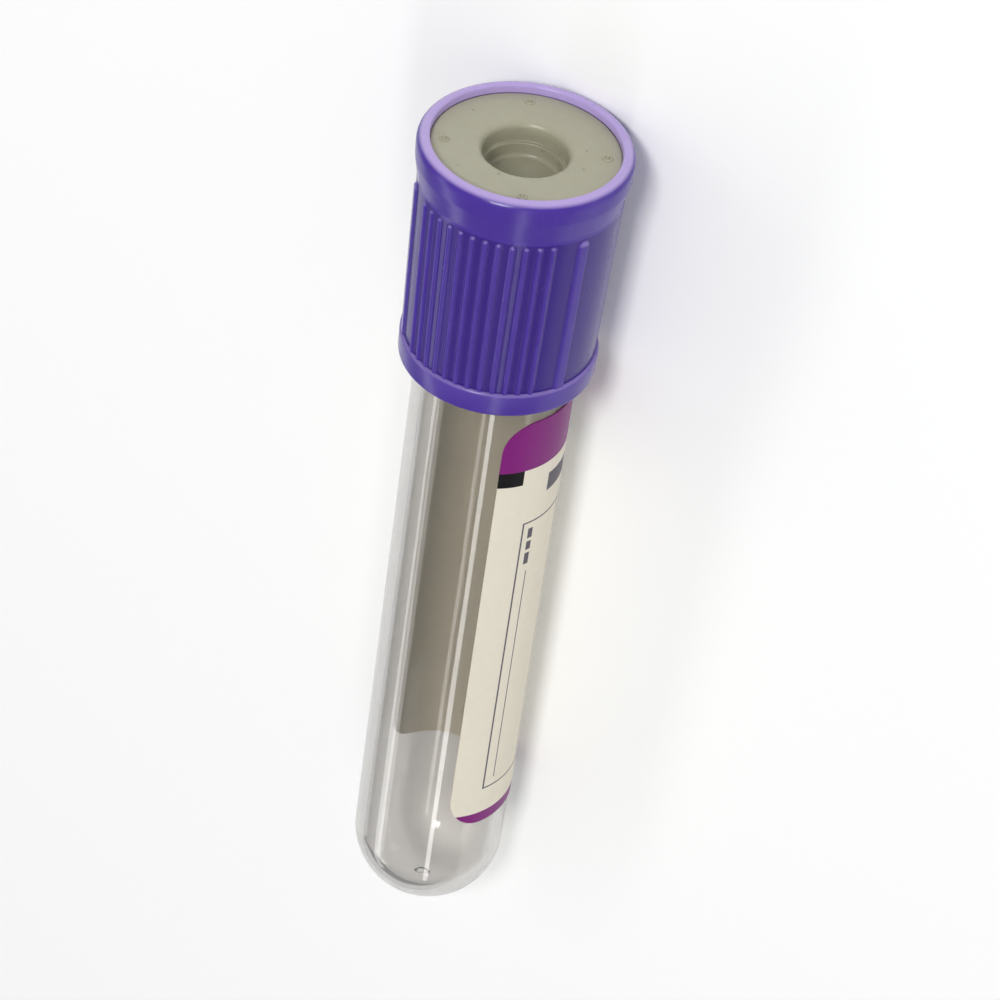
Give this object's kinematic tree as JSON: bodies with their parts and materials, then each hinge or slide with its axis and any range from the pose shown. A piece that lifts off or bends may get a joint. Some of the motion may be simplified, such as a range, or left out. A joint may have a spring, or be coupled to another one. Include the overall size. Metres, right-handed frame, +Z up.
{
  "type": "blood collection tube",
  "caption": "Clear round-bottom tube with a ribbed safety cap over a rubber stopper that pulls out of its mouth, and a paper label that leaves a clear window.",
  "frame": {"origin": "on the floor, under the middle of the box round the whole object as it lies on its side", "axes": "+Y from the cap to the round bottom, +Z up; the tube's axis is tilted 1.6 degrees, because the cap is wider than the tube, and the label's side, the heavier, lies lower"},
  "size_m": [0.017, 0.0806, 0.017],
  "materials": {
    "clear_polyester": "clear, glossy, as moulded",
    "label_paper": "coated paper with a coloured header band",
    "cap_plastic": "semi-gloss violet, ribbed",
    "stopper_rubber": "matt grey"
  },
  "bodies": {
    "tube_body": {"tube": "clear_polyester", "label": "label_paper"},
    "closure": {"cap": "cap_plastic", "stopper": "stopper_rubber"}
  },
  "joints": [
    {"name": "closure_pull", "type": "slide", "parent": "tube_body", "child": "closure", "axis": [0, -0.9996, 0.0276], "range_m": [0, 0.03]}
  ]
}
